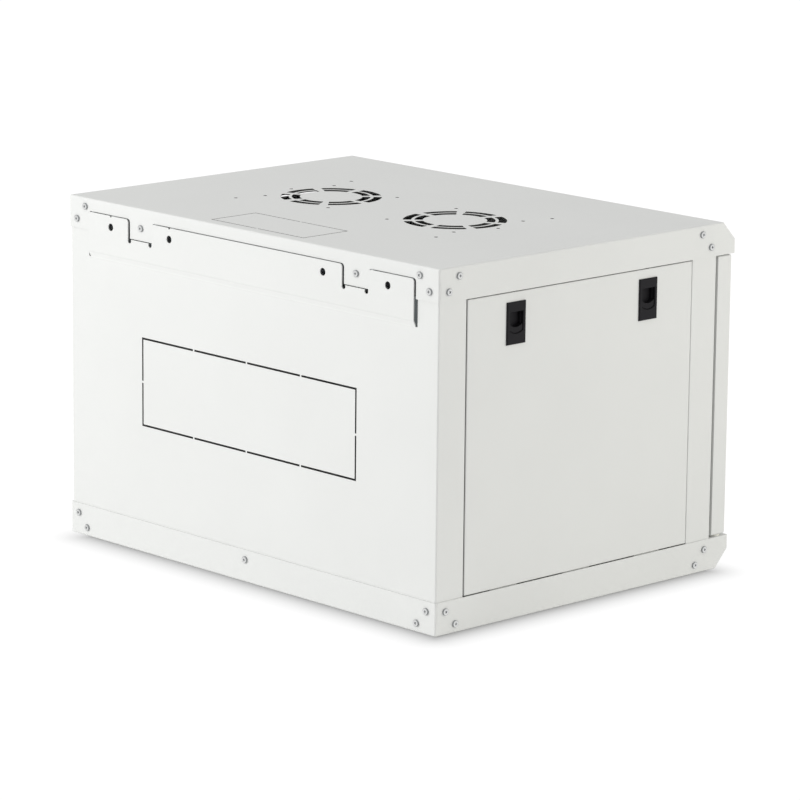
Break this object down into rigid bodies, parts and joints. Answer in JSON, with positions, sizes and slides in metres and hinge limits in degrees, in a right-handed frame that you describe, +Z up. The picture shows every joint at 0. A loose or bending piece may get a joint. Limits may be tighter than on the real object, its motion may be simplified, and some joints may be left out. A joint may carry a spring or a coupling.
{
  "type": "wall mount network cabinet",
  "caption": "Wall-hung rack cabinet of folded sheet steel with a glazed lockable door, lift-out side panels on slide latches, fan vents in the roof and cable knock-outs.",
  "frame": {"origin": "centre of the underside", "axes": "-Y towards the door, +Y towards the wall, +X to the right as seen from the door, +Z up"},
  "size_m": [0.6038, 0.452, 0.39],
  "materials": {
    "cabinet_paint": "fine light grey powder coat",
    "zinc_steel": "zinc plated, satin",
    "bright_screw": "bright zinc plated",
    "latch_plastic": "black moulded, light sheen",
    "door_glass": "grey tinted toughened sheet",
    "seal_rubber": "black strip",
    "lock_metal": "nickel plated",
    "nylon": "white nylon"
  },
  "bodies": {
    "cabinet": {"base_back_screws": "bright_screw", "base_side_screws": "bright_screw", "base_tray": "cabinet_paint", "carrier_nuts": "bright_screw", "carrier_screws": "bright_screw", "cover_back_screws": "bright_screw", "cover_side_screws": "bright_screw", "earth_nut": "bright_screw", "earth_stud": "bright_screw", "front_post_left": "cabinet_paint", "front_post_right": "cabinet_paint", "hanger_bar": "zinc_steel", "hinge_washer": "nylon", "lower_carrier_left": "zinc_steel", "lower_carrier_right": "zinc_steel", "lower_hinge_pin": "bright_screw", "rack_rail_left": "zinc_steel", "rack_rail_right": "zinc_steel", "rail_nuts": "bright_screw", "rail_screws": "bright_screw", "rear_panel": "cabinet_paint", "top_cover": "cabinet_paint", "upper_carrier_left": "zinc_steel", "upper_carrier_right": "zinc_steel"},
    "door": {"door_frame": "cabinet_paint", "door_glass": "door_glass", "glass_clips": "zinc_steel", "glass_seal": "seal_rubber", "hinge_pin_guide": "zinc_steel", "hinge_pin_spring": "bright_screw", "lock_barrel": "lock_metal", "lock_nut": "lock_metal"},
    "release_pin": {"upper_hinge_pin": "bright_screw"},
    "lock_turner": {"cam_screw": "bright_screw", "lock_cam": "lock_metal", "lock_plug": "lock_metal"},
    "left_panel": {"latch_case_left_front": "latch_plastic", "latch_case_left_rear": "latch_plastic", "side_panel_left": "cabinet_paint"},
    "right_panel": {"latch_case_right_front": "latch_plastic", "latch_case_right_rear": "latch_plastic", "side_panel_right": "cabinet_paint"},
    "left_rear_slide": {"latch_slide_left_rear": "latch_plastic"},
    "left_front_slide": {"latch_slide_left_front": "latch_plastic"},
    "right_rear_slide": {"latch_slide_right_rear": "latch_plastic"},
    "right_front_slide": {"latch_slide_right_front": "latch_plastic"}
  },
  "joints": [
    {"name": "door_hinge", "type": "hinge", "parent": "cabinet", "child": "door", "pos_m": [-0.2911, -0.212, 0.195], "axis": [0, 0, -1], "range_deg": [0, 180]},
    {"name": "lock_turn", "type": "hinge", "parent": "door", "child": "lock_turner", "pos_m": [0.2586, -0.2, 0.195], "axis": [0, 1, 0], "range_deg": [0, 90]},
    {"name": "door_pin_slide", "type": "slide", "parent": "door", "child": "release_pin", "axis": [0, 0, -1], "range_m": [0, 0.0075], "stiffness_N_per_m": 300, "springref_m": -0.006, "deforming": ["hinge_pin_spring"]},
    {"name": "left_panel_tilt", "type": "hinge", "parent": "cabinet", "child": "left_panel", "pos_m": [-0.2986, 0.01235, 0.036], "axis": [0, -1, 0], "range_deg": [0, 25]},
    {"name": "right_panel_tilt", "type": "hinge", "parent": "cabinet", "child": "right_panel", "pos_m": [0.2986, 0.01235, 0.036], "axis": [0, 1, 0], "range_deg": [0, 25]},
    {"name": "left_rear_latch", "type": "slide", "parent": "left_panel", "child": "left_rear_slide", "axis": [0, 0, 1], "range_m": [0, 0.0064]},
    {"name": "left_front_latch", "type": "slide", "parent": "left_panel", "child": "left_front_slide", "axis": [0, 0, 1], "range_m": [0, 0.0064]},
    {"name": "right_rear_latch", "type": "slide", "parent": "right_panel", "child": "right_rear_slide", "axis": [0, 0, 1], "range_m": [0, 0.0064]},
    {"name": "right_front_latch", "type": "slide", "parent": "right_panel", "child": "right_front_slide", "axis": [0, 0, 1], "range_m": [0, 0.0064]}
  ]
}
